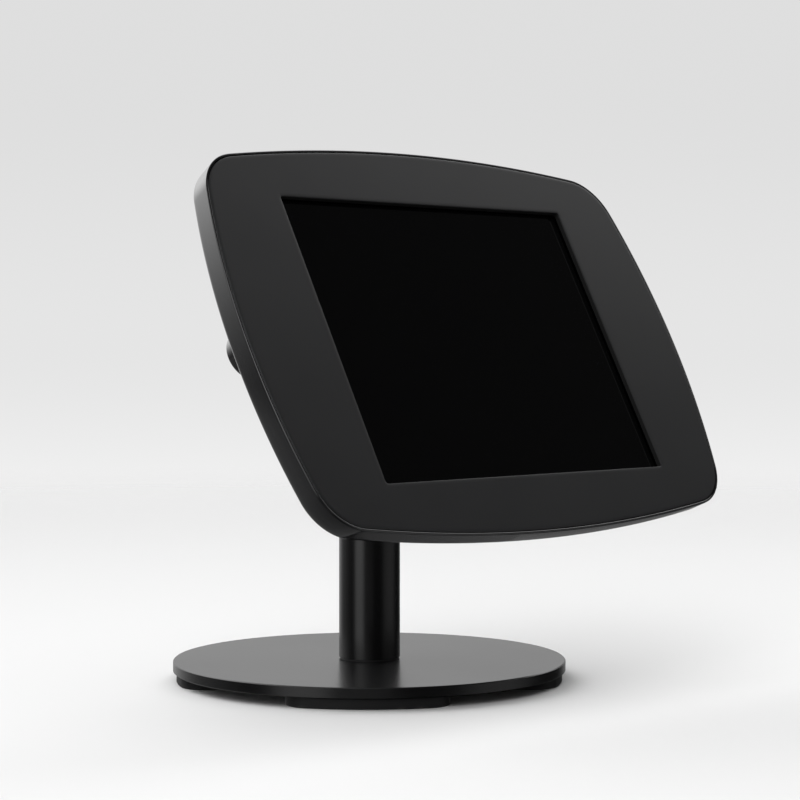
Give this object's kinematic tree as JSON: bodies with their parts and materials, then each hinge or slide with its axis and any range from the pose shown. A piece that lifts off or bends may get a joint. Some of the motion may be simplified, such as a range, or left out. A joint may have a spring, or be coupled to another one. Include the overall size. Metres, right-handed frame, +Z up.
{
  "type": "tablet payment stand",
  "caption": "Countertop tablet stand for a shop till: leaning locked enclosure on a bent swivel column and a round steel foot.",
  "frame": {"origin": "where the column's axis meets the counter, in the plane of the foot pads' undersides", "axes": "+Z up along the column, +X along the enclosure's width to the right of a person who faces the screen, and the screen faces -Y"},
  "size_m": [0.3318, 0.2477, 0.2925],
  "materials": {
    "black_powder_coat": "fine satin powder coat",
    "foot_rubber": "moulded, matt",
    "zinc_steel": "bright zinc plate",
    "black_steel": "black oxide",
    "turned_steel": "turned",
    "acetal": "machined acetal",
    "seal_rubber": "smooth",
    "shell_plastic": "moulded, gloss",
    "faceplate_plastic": "satin",
    "foam": "closed-cell foam",
    "holder_rubber": "soft moulded",
    "lock_chrome": "polished",
    "lock_nut_brass": "machined",
    "tablet_aluminium": "blasted and anodised",
    "screen_glass": "polished, black behind",
    "display_panel": "smooth",
    "battery_wrap": "foil wrap",
    "board_green": "solder mask"
  },
  "bodies": {
    "foot": {"base_plate": "black_powder_coat", "foot_pad_back_right": "foot_rubber", "foot_pad_back_left": "foot_rubber", "foot_pad_front_left": "foot_rubber", "foot_pad_front_right": "foot_rubber", "foot_pad_screws": "zinc_steel", "swivel_spigot": "turned_steel", "spigot_screws": "zinc_steel", "lower_bush": "acetal", "upper_bush": "acetal", "thrust_washer": "acetal", "friction_ring": "seal_rubber", "base_grommet": "seal_rubber"},
    "head": {"column_tube": "black_powder_coat", "stop_screw": "black_steel", "neck_flange": "black_powder_coat", "mounting_plate": "zinc_steel", "flange_screws": "zinc_steel", "neck_grommet": "seal_rubber", "rear_shell": "shell_plastic", "post_sockets": "acetal", "socket_screws": "zinc_steel", "lock_barrel": "lock_chrome", "lock_nut": "lock_nut_brass", "tablet_housing": "tablet_aluminium", "tablet_glass": "screen_glass", "tablet_display": "display_panel", "tablet_battery": "battery_wrap", "tablet_circuit_board": "board_green", "tablet_corner_holders": "holder_rubber", "tablet_back_pads": "foam"},
    "door": {"faceplate": "faceplate_plastic", "faceplate_posts": "zinc_steel", "window_gasket": "foam", "catch_bracket": "zinc_steel", "catch_screws": "zinc_steel"},
    "lock_core": {"lock_plug": "lock_chrome", "lock_cam": "zinc_steel", "cam_nut": "zinc_steel"},
    "power_key": {"power_button": "tablet_aluminium"},
    "volume_up_key": {"volume_up_button": "tablet_aluminium"},
    "volume_down_key": {"volume_down_button": "tablet_aluminium"}
  },
  "joints": [
    {"name": "column_swivel", "type": "hinge", "parent": "foot", "child": "head", "pos_m": [0, 0, 0.03], "axis": [0, 0, 1], "range_deg": [-90, 90]},
    {"name": "faceplate_lift", "type": "slide", "parent": "head", "child": "door", "axis": [0, -0.8816, 0.4721], "range_m": [0, 0.06]},
    {"name": "lock_turn", "type": "hinge", "parent": "head", "child": "lock_core", "pos_m": [-0.147, -0.07518, 0.18728], "axis": [0, -0.8816, 0.4721], "range_deg": [0, 90]},
    {"name": "power_press", "type": "slide", "parent": "head", "child": "power_key", "axis": [0, -0.4721, -0.8816], "range_m": [0, 0.0004], "stiffness_N_per_m": 2500},
    {"name": "volume_up_press", "type": "slide", "parent": "head", "child": "volume_up_key", "axis": [-1, 0, 0], "range_m": [0, 0.0004], "stiffness_N_per_m": 2500},
    {"name": "volume_down_press", "type": "slide", "parent": "head", "child": "volume_down_key", "axis": [-1, 0, 0], "range_m": [0, 0.0004], "stiffness_N_per_m": 2500}
  ]
}
